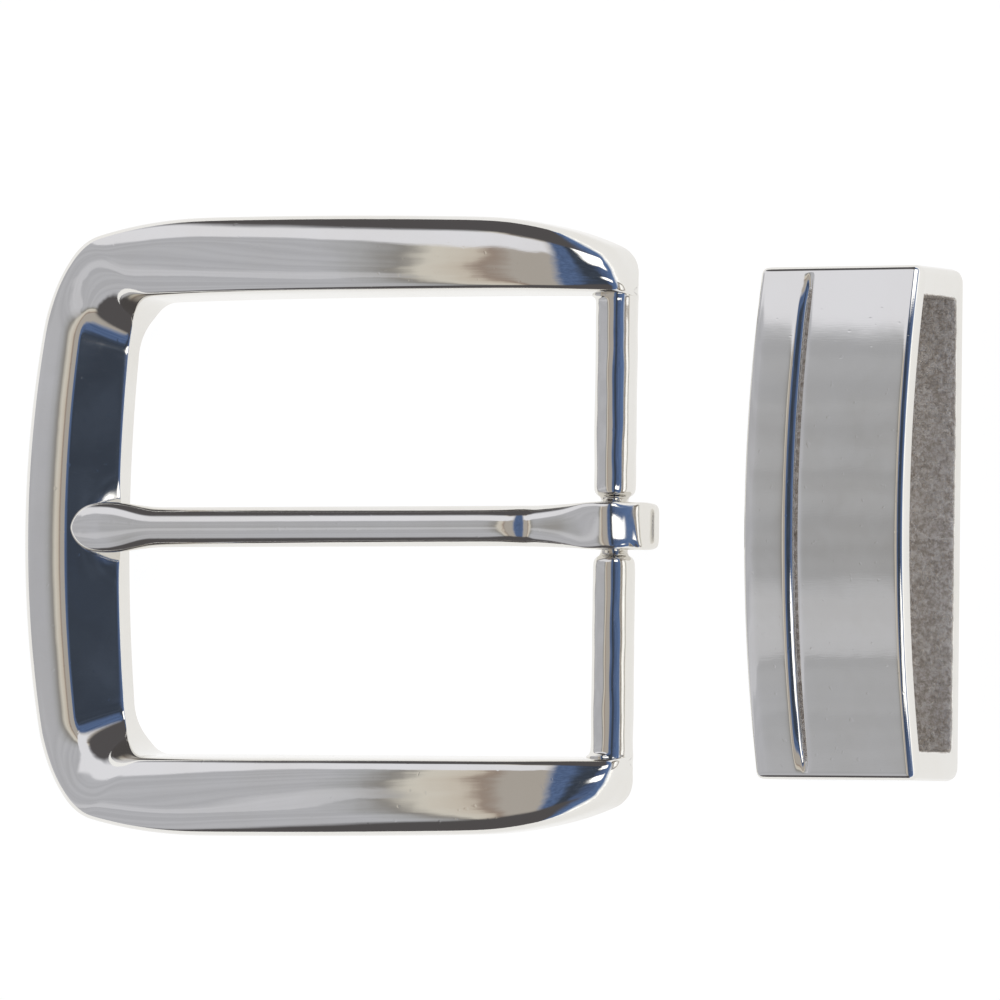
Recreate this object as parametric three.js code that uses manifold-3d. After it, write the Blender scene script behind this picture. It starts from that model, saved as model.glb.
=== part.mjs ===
// A trouser-belt buckle set for a 38 mm (1 1/2 in) strap, lying on its back.
//
//   buckle_frame  one casting: tip bar, two arms and the heel bar with its neck
//   prong         the tongue, crimped round the neck of the heel bar, free to swing
//   keeper        the matching metal loop that holds the free end of the strap
//
// Millimetres, +Z up and out of the front face, X along the strap (tip bar at -X), Y across it.
// The origin is under the middle of the whole set, on the plane that it lies on.

import * as THREE from 'three';
import { mergeVertices } from 'three/addons/utils/BufferGeometryUtils.js';
import Module from 'manifold-3d';

// ---------- driving dimensions ----------

// strap and what it needs
const STRAP_WIDTH = 38;
const OPENING_CLEARANCE = 1.3;      // each side of the strap in the frame
const SLOT_CLEARANCE = 0.7;         // each side of the strap in the keeper

// frame, plan view; x is measured from the outer edge of the tip bar
const FRAME_LENGTH = 62.6;
const TIP_BAR_WIDTH = 10.4;
const TIP_BAR_INNER_RISE = 0.7;     // how far the inner edge of the tip bar bows out at the middle
const ARM_WIDTH = 7.45;
const TIP_BOW_RADIUS = 95;          // the outer edge of the tip bar bulges along the strap
const OUTER_CORNER_RADIUS = 10;
const INNER_CORNER_RADIUS = 5;
const ARM_WIDEST = 21.5;            // where the arms stand furthest apart
const TIP_SHOULDER_RADIUS = 55;     // from there the outer edge turns in towards the corner
const ARM_BOW_RADIUS = 1100;        // and very slightly in towards the heel
const HEEL_TAPER_LENGTH = 13;       // last stretch of each arm, which narrows towards its end
const HEEL_TAPER_RADIUS = 31;
const ARM_END_RADIUS = 3;           // plan corner at the end of each arm

// frame, side view
const CREST_HEIGHT = 9.4;           // top of the arms at the middle of their arch
const ARCH_MIDDLE = 36;             // where that is
const TIP_CREST_HEIGHT = 4.3;       // highest line of the tip bar
const TIP_CREST_SETBACK = 3.75;     // where that line is
const HEEL_CREST_HEIGHT = 6.3;      // top of the arms at the heel, as the arch alone would have it
const HEEL_BEND_LENGTH = 8;         // last stretch of each arm, where the front bends down further
const HEEL_BEND_DROP = 1.8;
const ARM_THICKNESS = 5.1;
const ARM_END_ROUND = 1.1;          // front edge of the end of each arm

// heel bar
const BAR_RADIUS = 1.9;
const BAR_FLARE = 0.5;              // fillet where the bar runs into the arms
const BAR_ROOT = 1;                 // how far the bar's ends run on inside the arms
const NECK_RADIUS = 1.2;
const NECK_LENGTH = 5.1;
const NECK_SHOULDER = 0.8;          // rounded length from the neck up to the full bar

// prong
const PRONG_TIP_SETBACK = 6.8;      // from the outer edge of the tip bar to the end of the prong
const SHAFT_WIDTH = 3.65;
const SHAFT_DEPTH = 3.1;
const LEAF_WIDTH = 4.6;             // the flattened tip
const LEAF_DEPTH = 1.9;
const LEAF_LENGTH = 9.3;
const NOSE_LENGTH = 3.2;            // rounded end of the leaf
const NOSE_BLUNTNESS = 0.12;        // 0 would bring the nose to a sharp point
const NOSE_THICKNESS = 0.45;        // share of the leaf's depth left at its very end
const TAIL_WIDTH = 4.35;
const TAIL_REACH = 3.8;             // from the middle of the neck to the far face of the tail
const TAIL_CORNER = 1;
const TAIL_SHOULDER = 0.6;          // how far the tail carries on under the shaft
const TAIL_WIDENING = 3.4;          // length over which the prong widens from the shaft to the tail
const TAIL_EDGE_ROUND = 0.55;
const TAIL_SLOPE_DROP = 1.2;        // fall of the far face, from the bump to the far corner
const BUMP_HALF = 1.6;              // half the length of the bump over the neck
const BUMP_WALL = 1.7;              // metal over the neck
const BUMP_STEP = 0.35;             // how far the bump stands above the shaft
const BORE_CLEARANCE = 0.2;
const SEAM_WIDTH = 0.8;             // gap left under the bar where the tail was closed round it
const REST_GAP = 0.3;               // between the prong and the tip bar
const TAIL_FLOOR = 0.1;             // underside of the tail, over the plane that the set lies on

// keeper
const KEEPER_GAP = 15.7;            // from the end of the frame to the keeper
const KEEPER_WIDTH = 15.7;
const KEEPER_END_WALL = 2.6;
const KEEPER_END_HEIGHT = 9;
const KEEPER_CROWN = 3;             // how much higher the front is at the middle
const KEEPER_BACK_WALL = 1.9;
const KEEPER_FRONT_WALL = 1.2;
const KEEPER_CORNER_RADIUS = 1.2;
const KEEPER_EDGE_ROUND = 0.8;
const GROOVE_OFFSET = 5.1;          // from the frame-side face to the middle of the groove
const GROOVE_WIDTH = 0.9;
const GROOVE_DEPTH = 0.7;
const GROOVE_END = 0.5;             // metal left at each end of the groove

// how finely curves are divided
const TIP_BAR_STEPS = 5;
const CORNER_STEPS = 9;
const ARM_STEPS = 11;
const ARM_END_STEPS = 5;
const BAR_SEGMENTS = 28;
const FILLET_STEPS = 4;
const RING_POINTS = 16;
const NOSE_STEPS = 6;
const LEAF_STEPS = 6;
const SHAFT_STEPS = 3;
const CROWN_STEPS = 20;
const HALVINGS = 40;                // how often the search for the corner's end halves its range
const CUT_PAST = 1;                 // how far a cutting solid sticks out past what it cuts

// ---------- worked-out sizes ----------

const OPENING_HALF = STRAP_WIDTH / 2 + OPENING_CLEARANCE;
const ARM_OUTER_HALF = OPENING_HALF + ARM_WIDTH;
const BAR_X = FRAME_LENGTH - BAR_RADIUS;
const BORE_RADIUS = NECK_RADIUS + BORE_CLEARANCE;
const KEEPER_X = FRAME_LENGTH + KEEPER_GAP;
const KEEPER_HALF = STRAP_WIDTH / 2 + SLOT_CLEARANCE + KEEPER_END_WALL;
const SET_LENGTH = KEEPER_X + KEEPER_WIDTH;

// ---------- solids ----------

const wasm = await Module();
wasm.setup();

function solid(geometry) {
  const bare = geometry.clone();
  bare.deleteAttribute('normal');
  bare.deleteAttribute('uv');
  const merged = mergeVertices(bare, 1e-5);
  const mesh = new wasm.Mesh({
    numProp: 3,
    vertProperties: new Float32Array(merged.attributes.position.array),
    triVerts: new Uint32Array(merged.index.array),
  });
  return new wasm.Manifold(mesh);
}

function named(name, shape, material) {
  const data = shape.getMesh();
  const geometry = new THREE.BufferGeometry();
  geometry.setAttribute('position', new THREE.BufferAttribute(data.vertProperties, 3));
  geometry.setIndex(new THREE.BufferAttribute(data.triVerts, 1));
  geometry.computeVertexNormals();
  const mesh = new THREE.Mesh(geometry, material);
  mesh.name = name;
  return mesh;
}

function plating(colour, roughness) {
  return new THREE.MeshStandardMaterial({ color: colour, roughness, metalness: 1 });
}

// A closed skin through rings that all have the same number of points, with a flat cap at each end.
function loft(rings) {
  const count = rings[0].length;
  const positions = rings.flat(2);
  const index = [];
  for (let r = 0; r < rings.length - 1; r += 1) {
    for (let k = 0; k < count; k += 1) {
      const a = r * count + k;
      const b = r * count + (k + 1) % count;
      index.push(a, a + count, b, b, a + count, b + count);
    }
  }
  const last = (rings.length - 1) * count;
  for (const [cap, flip] of [[rings[0], false], [rings[rings.length - 1], true]]) {
    const offset = flip ? last : 0;
    for (const [i, j, k] of capTriangles(cap)) {
      index.push(...(flip ? [offset + i, offset + k, offset + j] : [offset + i, offset + j, offset + k]));
    }
  }
  const geometry = new THREE.BufferGeometry();
  geometry.setAttribute('position', new THREE.Float32BufferAttribute(positions, 3));
  geometry.setIndex(index);
  return outward(geometry);
}

// Caps are drawn in the plane across the ring, whose points share one x.
function capTriangles(ring) {
  const flat = ring.map(([, y, z]) => new THREE.Vector2(y, z));
  const forward = THREE.ShapeUtils.area(flat) > 0;
  const order = ring.map((_, i) => (forward ? i : ring.length - 1 - i));
  const faces = THREE.ShapeUtils.triangulateShape(order.map((i) => flat[i]), []);
  return faces.map(([a, b, c]) => {
    const face = [order[a], order[b], order[c]];
    return forward ? face : [face[0], face[2], face[1]];
  });
}

// Turns every face round when the volume comes out negative.
function outward(geometry) {
  const p = geometry.attributes.position;
  const index = geometry.index.array;
  const [a, b, c] = [new THREE.Vector3(), new THREE.Vector3(), new THREE.Vector3()];
  let volume = 0;
  for (let i = 0; i < index.length; i += 3) {
    a.fromBufferAttribute(p, index[i]);
    b.fromBufferAttribute(p, index[i + 1]);
    c.fromBufferAttribute(p, index[i + 2]);
    volume += a.dot(b.cross(c));
  }
  if (volume < 0) {
    for (let i = 0; i < index.length; i += 3) {
      [index[i + 1], index[i + 2]] = [index[i + 2], index[i + 1]];
    }
  }
  return geometry;
}

const mix = THREE.MathUtils.lerp;
const smooth = (x, from, to) => THREE.MathUtils.smoothstep(x, from, to);

// How much of a rounded edge of this radius is missing, a distance t into it.
function roundOff(t, radius) {
  const inside = THREE.MathUtils.clamp(t, 0, radius);
  return radius - Math.sqrt(radius * radius - inside * inside);
}

// ---------- buckle_frame ----------

const TIP_ARCH_CURVE = (CREST_HEIGHT - TIP_CREST_HEIGHT) / (ARCH_MIDDLE - TIP_CREST_SETBACK) ** 2;
const HEEL_ARCH_CURVE = (CREST_HEIGHT - HEEL_CREST_HEIGHT) / (FRAME_LENGTH - ARCH_MIDDLE) ** 2;

function crest(x) {
  const curve = x < ARCH_MIDDLE ? TIP_ARCH_CURVE : HEEL_ARCH_CURVE;
  const bend = Math.max(0, x - FRAME_LENGTH + HEEL_BEND_LENGTH) / HEEL_BEND_LENGTH;
  return CREST_HEIGHT - curve * (x - ARCH_MIDDLE) ** 2 - HEEL_BEND_DROP * bend ** 2;
}

const back = (x) => Math.max(0, crest(x) - ARM_THICKNESS);

// Sections run from the back inner edge, over the front, to the back outer edge. Each point is
// [share of the width, share of the height]; the arm is crowned, the tip bar slopes to the opening.
const ARM_SECTION = [
  [0, 0], [0.03, 0.5], [0.058, 0.8], [0.078, 0.885], [0.1, 0.925], [0.17, 0.965], [0.3, 0.998],
  [0.45, 0.994], [0.6, 0.97], [0.72, 0.94], [0.835, 0.879], [0.91, 0.815], [0.96, 0.75], [0.99, 0.66],
  [1, 0.07], [0.97, 0], [0.5, 0],
];
const TIP_SECTION = [
  [0, 0], [0.006, 0.2], [0.012, 0.4], [0.02, 0.435], [0.04, 0.46], [0.17, 0.62], [0.3, 0.78],
  [0.42, 0.928], [0.45, 0.956], [0.6, 0.996], [0.7, 0.995], [0.8, 0.93], [0.88, 0.76], [0.95, 0.47],
  [1, 0.07], [0.975, 0], [0.5, 0],
];

// Share of the corner that keeps the tip bar's section before it starts to change to the arm's.
const SECTION_TURN_START = 0.3;

function armOuter(x) {
  const radius = x < ARM_WIDEST ? TIP_SHOULDER_RADIUS : ARM_BOW_RADIUS;
  const taper = Math.max(0, x - FRAME_LENGTH + HEEL_TAPER_LENGTH) ** 2 / (2 * HEEL_TAPER_RADIUS);
  return ARM_OUTER_HALF - (x - ARM_WIDEST) ** 2 / (2 * radius) - taper;
}

// The corner's arc touches the arm's outer edge at one end and the tip bar's arc at the other. The
// place where it touches the arm is found by halving.
function outerCorner() {
  let [low, high] = [0, ARM_WIDEST];
  let corner;
  for (let i = 0; i < HALVINGS; i += 1) {
    const endX = (low + high) / 2;
    const to = Math.PI / 2 - Math.atan((ARM_WIDEST - endX) / TIP_SHOULDER_RADIUS);
    const x = endX + OUTER_CORNER_RADIUS * Math.cos(to);
    const y = armOuter(endX) - OUTER_CORNER_RADIUS * Math.sin(to);
    corner = { x, y, from: Math.atan2(y, TIP_BOW_RADIUS - x), to, endX };
    if (Math.hypot(TIP_BOW_RADIUS - x, y) < TIP_BOW_RADIUS - OUTER_CORNER_RADIUS) high = endX;
    else low = endX;
  }
  return corner;
}

const armEndOuter = (x) => armOuter(x) - roundOff(x - FRAME_LENGTH + ARM_END_RADIUS, ARM_END_RADIUS);

// One half of the frame as stations, each with its inner and outer edge in plan, from the middle of
// the tip bar round the corner and along the arm to its end.
function halfStations() {
  const stations = [];
  const corner = outerCorner();
  const innerX = TIP_BAR_WIDTH + TIP_BAR_INNER_RISE + INNER_CORNER_RADIUS;
  const innerY = OPENING_HALF - INNER_CORNER_RADIUS;
  for (let i = 0; i < TIP_BAR_STEPS; i += 1) {
    const share = i / TIP_BAR_STEPS;
    const turn = corner.from * share;
    stations.push({
      inner: [TIP_BAR_WIDTH + TIP_BAR_INNER_RISE * share ** 2, innerY * share],
      outer: [TIP_BOW_RADIUS * (1 - Math.cos(turn)), TIP_BOW_RADIUS * Math.sin(turn)],
      tip: 1,
    });
  }
  for (let i = 0; i <= CORNER_STEPS; i += 1) {
    const share = i / CORNER_STEPS;
    const turn = mix(corner.from, corner.to, share);
    const innerTurn = (Math.PI / 2) * share;
    stations.push({
      inner: [
        innerX - INNER_CORNER_RADIUS * Math.cos(innerTurn),
        innerY + INNER_CORNER_RADIUS * Math.sin(innerTurn),
      ],
      outer: [
        corner.x - OUTER_CORNER_RADIUS * Math.cos(turn),
        corner.y + OUTER_CORNER_RADIUS * Math.sin(turn),
      ],
      tip: 1 - smooth(share, SECTION_TURN_START, 1),
    });
  }
  for (let i = 1; i <= ARM_STEPS; i += 1) {
    const share = i / ARM_STEPS;
    const x = mix(corner.endX, BAR_X, share);
    stations.push({ inner: [mix(innerX, BAR_X, share), OPENING_HALF], outer: [x, armEndOuter(x)], tip: 0 });
  }
  for (let i = 1; i <= ARM_END_STEPS; i += 1) {
    const x = BAR_X + BAR_RADIUS * Math.sin((Math.PI / 2) * (i / ARM_END_STEPS));
    stations.push({ inner: [x, OPENING_HALF], outer: [x, armEndOuter(x)], tip: 0 });
  }
  return stations;
}

function stationRing({ inner, outer, tip }, side) {
  const middle = (inner[0] + outer[0]) / 2;
  const intoEnd = middle - FRAME_LENGTH;
  const heightAt = mix(middle, TIP_CREST_SETBACK, tip);
  const top = crest(heightAt) - roundOff(intoEnd + ARM_END_ROUND, ARM_END_ROUND);
  const bottom = back(heightAt) + roundOff(intoEnd + BAR_RADIUS, BAR_RADIUS);
  return ARM_SECTION.map(([armAcross, armUp], k) => {
    const across = mix(armAcross, TIP_SECTION[k][0], tip);
    const up = mix(armUp, TIP_SECTION[k][1], tip);
    const x = mix(inner[0], outer[0], across);
    const y = mix(inner[1], outer[1], across);
    return [x, side * y, mix(bottom, top, up)];
  });
}

function frameLoop() {
  const half = halfStations();
  const upper = half.map((station) => stationRing(station, 1)).reverse();
  const lower = half.slice(1).map((station) => stationRing(station, -1));
  return solid(loft([...upper, ...lower]));
}

// The room that the heel bar's flared ends may fill: no lower and no longer than the bar itself.
function heelRoom() {
  const side = new THREE.Shape();
  side.moveTo(0, 0);
  side.lineTo(FRAME_LENGTH - ARM_END_ROUND, 0);
  side.quadraticCurveTo(FRAME_LENGTH, 0, FRAME_LENGTH, ARM_END_ROUND);
  side.lineTo(FRAME_LENGTH, CREST_HEIGHT);
  side.lineTo(0, CREST_HEIGHT);
  const room = new THREE.ExtrudeGeometry(side, {
    depth: 2 * ARM_OUTER_HALF, bevelEnabled: false, curveSegments: FILLET_STEPS,
  });
  room.translate(0, 0, -ARM_OUTER_HALF);
  return solid(room.rotateX(Math.PI / 2));
}

// The heel bar is round, necks down where the prong sits and flares into both arms.
function heelBar() {
  const neckHalf = NECK_LENGTH / 2;
  const flareStart = OPENING_HALF - BAR_FLARE;
  const profile = [new THREE.Vector2(0, 0), new THREE.Vector2(NECK_RADIUS, 0)];
  for (let i = 0; i <= FILLET_STEPS; i += 1) {
    const turn = (Math.PI / 2) * (i / FILLET_STEPS);
    const radius = NECK_RADIUS + (BAR_RADIUS - NECK_RADIUS) * Math.sin(turn);
    profile.push(new THREE.Vector2(radius, neckHalf + NECK_SHOULDER * (1 - Math.cos(turn))));
  }
  for (let i = 0; i <= FILLET_STEPS; i += 1) {
    const turn = (Math.PI / 2) * (i / FILLET_STEPS);
    const radius = BAR_RADIUS + BAR_FLARE * (1 - Math.cos(turn));
    profile.push(new THREE.Vector2(radius, flareStart + BAR_FLARE * Math.sin(turn)));
  }
  profile.push(new THREE.Vector2(BAR_RADIUS, OPENING_HALF + BAR_ROOT));
  profile.push(new THREE.Vector2(0, OPENING_HALF + BAR_ROOT));
  const half = solid(outward(new THREE.LatheGeometry(profile, BAR_SEGMENTS)));
  const bar = half.add(half.mirror([0, 1, 0])).translate([BAR_X, 0, BAR_RADIUS]);
  return bar.intersect(heelRoom());
}

function buckleFrame() {
  return frameLoop().add(heelBar());
}

// ---------- prong ----------

// Height of the tip bar's front face a distance x from its outer edge, at the middle of the frame.
function tipBarTop(x) {
  const across = (TIP_BAR_WIDTH - x) / TIP_BAR_WIDTH;
  const front = TIP_SECTION.slice(2, 13);
  for (let i = 0; i < front.length - 1; i += 1) {
    const [from, to] = [front[i], front[i + 1]];
    if (across >= from[0] && across <= to[0]) {
      const up = mix(from[1], to[1], (across - from[0]) / (to[0] - from[0]));
      return TIP_CREST_HEIGHT * up;
    }
  }
  return 0;
}

// A round or, with a lower power, squarer ring across the prong.
function prongRing(x, top, width, depth, power) {
  const z = top - depth / 2;
  return Array.from({ length: RING_POINTS }, (_, k) => {
    const turn = (2 * Math.PI * k) / RING_POINTS;
    const [c, s] = [Math.cos(turn), Math.sin(turn)];
    const across = (width / 2) * Math.sign(c) * Math.abs(c) ** power;
    return [x, across, z + (depth / 2) * Math.sign(s) * Math.abs(s) ** power];
  });
}

const ROUND = 1;
const LEAF_SQUARENESS = 0.85;

// The shaft runs straight from the top of the loop to the tip bar and flattens into a leaf.
function prongShaft() {
  const tipX = PRONG_TIP_SETBACK;
  const leafTop = tipBarTop(tipX) + REST_GAP + LEAF_DEPTH;
  const heelTop = BAR_RADIUS + BORE_RADIUS + BUMP_WALL - BUMP_STEP;
  const topAt = (x) => mix(leafTop, heelTop, (x - tipX) / (BAR_X - tipX));
  const rings = [];
  for (let i = 0; i <= NOSE_STEPS; i += 1) {
    const turn = (Math.PI / 2) * mix(NOSE_BLUNTNESS, 1, i / NOSE_STEPS);
    const x = tipX + NOSE_LENGTH * (1 - Math.cos(turn));
    const depth = LEAF_DEPTH * mix(NOSE_THICKNESS, 1, Math.sin(turn));
    const top = topAt(x) - LEAF_DEPTH + depth;
    rings.push(prongRing(x, top, LEAF_WIDTH * Math.sin(turn), depth, LEAF_SQUARENESS));
  }
  for (let i = 1; i <= LEAF_STEPS; i += 1) {
    const share = i / LEAF_STEPS;
    const x = mix(tipX + NOSE_LENGTH, tipX + LEAF_LENGTH, share);
    const blend = smooth(share, 0, 1);
    const [width, depth] = [mix(LEAF_WIDTH, SHAFT_WIDTH, blend), mix(LEAF_DEPTH, SHAFT_DEPTH, blend)];
    rings.push(prongRing(x, topAt(x), width, depth, mix(LEAF_SQUARENESS, ROUND, blend)));
  }
  for (let i = 1; i <= SHAFT_STEPS; i += 1) {
    const x = mix(tipX + LEAF_LENGTH, BAR_X, i / SHAFT_STEPS);
    rings.push(prongRing(x, topAt(x), SHAFT_WIDTH, SHAFT_DEPTH, ROUND));
  }
  return solid(loft(rings));
}

// The tail in side view: a bump over the neck, a sloping far face and a squared lower corner.
function tailBlock() {
  const top = BAR_RADIUS + BORE_RADIUS + BUMP_WALL;
  const near = BAR_X - BORE_RADIUS - BUMP_WALL;
  const far = BAR_X + TAIL_REACH;
  const shoulder = near - TAIL_SHOULDER;
  const bumpEnd = top - BUMP_STEP;
  const side = new THREE.Shape();
  side.moveTo(near + TAIL_CORNER, TAIL_FLOOR);
  side.lineTo(far - TAIL_CORNER, TAIL_FLOOR);
  side.quadraticCurveTo(far, TAIL_FLOOR, far, TAIL_FLOOR + TAIL_CORNER);
  side.quadraticCurveTo(far, top - TAIL_SLOPE_DROP, BAR_X + BUMP_HALF, bumpEnd);
  side.quadraticCurveTo(BAR_X, top + BUMP_STEP, BAR_X - BUMP_HALF, bumpEnd);
  side.lineTo(shoulder, bumpEnd - BUMP_STEP);
  side.quadraticCurveTo(shoulder, TAIL_FLOOR, near + TAIL_CORNER, TAIL_FLOOR);
  const block = new THREE.ExtrudeGeometry(side, {
    depth: TAIL_WIDTH - 2 * TAIL_EDGE_ROUND,
    bevelThickness: TAIL_EDGE_ROUND,
    bevelSize: TAIL_EDGE_ROUND,
    bevelOffset: -TAIL_EDGE_ROUND,
    bevelSegments: 3,
    curveSegments: 6,
  });
  block.translate(0, 0, TAIL_EDGE_ROUND - TAIL_WIDTH / 2);
  block.rotateX(Math.PI / 2);
  return solid(narrowed(block, shoulder - TAIL_EDGE_ROUND));
}

// The tail is no wider than the shaft where it starts.
function narrowed(block, start) {
  const p = block.attributes.position;
  for (let i = 0; i < p.count; i += 1) {
    const widened = smooth(p.getX(i), start, start + TAIL_WIDENING);
    p.setY(i, p.getY(i) * mix(SHAFT_WIDTH / TAIL_WIDTH, 1, widened));
  }
  return block;
}

function prong() {
  const length = TAIL_WIDTH + 2 * CUT_PAST;
  const bore = new THREE.CylinderGeometry(BORE_RADIUS, BORE_RADIUS, length, BAR_SEGMENTS);
  bore.translate(BAR_X, 0, BAR_RADIUS);
  const seam = new THREE.BoxGeometry(SEAM_WIDTH, length, BAR_RADIUS + BORE_RADIUS);
  seam.translate(BAR_X - BORE_RADIUS / 2, 0, (BAR_RADIUS - BORE_RADIUS) / 2);
  return prongShaft().add(tailBlock()).subtract(solid(bore)).subtract(solid(seam));
}

// ---------- keeper ----------

const crownRadius = (half, rise) => (half * half + rise * rise) / (2 * rise);

function arcTo(shape, y, z, radius, from, to, steps) {
  for (let i = 0; i <= steps; i += 1) {
    const turn = mix(from, to, i / steps);
    shape.lineTo(y + radius * Math.cos(turn), z + radius * Math.sin(turn));
  }
}

// Outline across the strap: flat back, upright ends, arched front. It is drawn with y to the
// right and z up; the arch keeps one centre, so walls and groove follow the front.
function keeperOutline(half, bottom, inset, corner) {
  const radius = crownRadius(KEEPER_HALF, KEEPER_CROWN);
  const centre = KEEPER_END_HEIGHT + KEEPER_CROWN - radius;
  const front = radius - inset;
  const turn = Math.asin(half / front);
  const shape = new THREE.Shape();
  shape.moveTo(-half + corner, bottom);
  shape.lineTo(half - corner, bottom);
  if (corner > 0) arcTo(shape, half - corner, bottom + corner, corner, -Math.PI / 2, 0, 4);
  arcTo(shape, 0, centre, front, Math.PI / 2 - turn, Math.PI / 2 + turn, CROWN_STEPS);
  if (corner > 0) arcTo(shape, -half + corner, bottom + corner, corner, Math.PI, 1.5 * Math.PI, 4);
  return shape;
}

// Shapes drawn in (y, z) are extruded along x.
function alongStrap(shape, from, length, edge) {
  const geometry = new THREE.ExtrudeGeometry(shape, {
    depth: length - 2 * edge,
    bevelEnabled: edge > 0,
    bevelThickness: edge,
    bevelSize: edge,
    bevelOffset: -edge,
    bevelSegments: 3,
  });
  geometry.translate(0, 0, edge);
  geometry.rotateX(Math.PI / 2);
  geometry.rotateZ(Math.PI / 2);
  return solid(geometry.translate(from, 0, 0));
}

function keeper() {
  const slotHalf = STRAP_WIDTH / 2 + SLOT_CLEARANCE;
  const body = alongStrap(
    keeperOutline(KEEPER_HALF, 0, 0, KEEPER_CORNER_RADIUS), KEEPER_X, KEEPER_WIDTH, KEEPER_EDGE_ROUND,
  );
  const slot = alongStrap(
    keeperOutline(slotHalf, KEEPER_BACK_WALL, KEEPER_FRONT_WALL, 0), KEEPER_X - CUT_PAST,
    KEEPER_WIDTH + 2 * CUT_PAST, 0,
  );
  const grooveHalf = KEEPER_HALF - GROOVE_END;
  const ring = alongStrap(
    keeperOutline(grooveHalf, KEEPER_BACK_WALL, -CUT_PAST, 0), KEEPER_X + GROOVE_OFFSET - GROOVE_WIDTH / 2,
    GROOVE_WIDTH, 0,
  );
  const core = alongStrap(
    keeperOutline(KEEPER_HALF, 0, GROOVE_DEPTH, 0), KEEPER_X, KEEPER_WIDTH, 0,
  );
  return body.subtract(slot).subtract(ring.subtract(core));
}

// ---------- the set ----------

const group = new THREE.Group();
group.add(named('buckle_frame', buckleFrame(), plating(0xc4c6c9, 0.08)));
group.add(named('prong', prong(), plating(0xb9bcc0, 0.1)));
group.add(named('keeper', keeper(), plating(0xc4c6c9, 0.08)));
for (const mesh of group.children) mesh.position.x = -SET_LENGTH / 2;

export default group;
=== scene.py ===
# %% [markdown]
# # A buckle set for a trouser belt
#
# The set has three castings that never touch each other tightly: the frame, the prong that swings on
# the frame's heel bar, and the keeper that slides on the strap. All three are zinc, polished and
# nickel plated, so almost everything the eye sees is a reflection. That is why this lesson spends as
# much care on the studio round the buckle as on the metal itself.
#
# We start by loading the fixed frame. Every place and overall size below is read from it.

# %% Load the fixed frame
import math

import bmesh
import bpy
from mathutils import Matrix, Vector, noise


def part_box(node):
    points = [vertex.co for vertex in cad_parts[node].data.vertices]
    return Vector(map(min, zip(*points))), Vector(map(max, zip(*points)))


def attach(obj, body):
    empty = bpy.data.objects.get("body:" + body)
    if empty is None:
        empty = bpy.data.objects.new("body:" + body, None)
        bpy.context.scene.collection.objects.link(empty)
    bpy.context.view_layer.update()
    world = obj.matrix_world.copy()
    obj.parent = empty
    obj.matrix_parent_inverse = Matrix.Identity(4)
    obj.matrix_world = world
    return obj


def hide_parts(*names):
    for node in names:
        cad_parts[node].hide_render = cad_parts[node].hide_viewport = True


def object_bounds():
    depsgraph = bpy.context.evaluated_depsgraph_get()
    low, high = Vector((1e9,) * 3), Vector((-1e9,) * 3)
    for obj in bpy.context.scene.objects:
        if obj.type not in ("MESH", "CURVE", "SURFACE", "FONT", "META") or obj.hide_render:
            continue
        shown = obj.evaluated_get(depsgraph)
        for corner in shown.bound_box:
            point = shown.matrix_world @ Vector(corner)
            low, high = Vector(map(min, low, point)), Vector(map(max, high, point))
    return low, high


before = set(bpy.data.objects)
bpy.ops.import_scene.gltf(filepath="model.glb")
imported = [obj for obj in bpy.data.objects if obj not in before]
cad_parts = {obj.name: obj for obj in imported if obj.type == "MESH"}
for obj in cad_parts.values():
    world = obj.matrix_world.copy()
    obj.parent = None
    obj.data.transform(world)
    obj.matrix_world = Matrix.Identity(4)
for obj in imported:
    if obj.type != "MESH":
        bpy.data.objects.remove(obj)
cad_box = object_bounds()

MM = 0.001
frame_low, frame_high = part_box("buckle_frame")
prong_low, prong_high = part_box("prong")
keeper_low, keeper_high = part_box("keeper")
print("set measures", [round((high - low) / MM, 2) for low, high in zip(*cad_box)], "mm")

# %% [markdown]
# ## The camera
#
# Small shiny goods are photographed from far away with a long lens, so that their edges stay parallel.
# The camera looks down at the set, leaning a little towards its right-hand side. We build its three
# axes by hand: one back towards the camera, one up, and one to the right, with a slight roll.

# %% Camera
LEAN = math.radians(28.0)
TIP_BACK = math.radians(-1.9)
ROLL = math.radians(-0.7)
CAMERA_DISTANCE = 1.0
CAMERA_LENS = 404.6
AIM = Vector((1.205, 2.45, 0.0)) * MM

toward_camera = Vector((
    math.sin(LEAN) * math.cos(TIP_BACK),
    math.sin(TIP_BACK),
    math.cos(LEAN) * math.cos(TIP_BACK),
))
level_up = (Vector((0, 1, 0)) - toward_camera * toward_camera.y).normalized()
level_right = level_up.cross(toward_camera)
camera_up = level_up * math.cos(ROLL) + level_right * math.sin(ROLL)
camera_right = level_right * math.cos(ROLL) - level_up * math.sin(ROLL)

camera_data = bpy.data.cameras.new("studio_camera")
camera_data.lens = CAMERA_LENS
camera_data.sensor_width = 36
camera_data.clip_start = 0.01
camera = bpy.data.objects.new("studio_camera", camera_data)
bpy.context.scene.collection.objects.link(camera)
turn = Matrix((camera_right, camera_up, toward_camera)).transposed().to_4x4()
camera.matrix_world = Matrix.Translation(AIM + toward_camera * CAMERA_DISTANCE) @ turn
bpy.context.scene.camera = camera
bpy.context.scene.view_settings.view_transform = "Standard"
print("camera stands", round(CAMERA_DISTANCE / MM), "mm away")

# %% [markdown]
# ## Writing shaders as sums
#
# A shader is a drawing of boxes and wires. Long drawings are easier to read as arithmetic, so a
# `Wire` stands for one output socket and adds a Math box whenever it meets a plus or a times sign. A
# `Board` is the tree that the boxes sit on, and its one method `add` makes every other kind of box.

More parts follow.
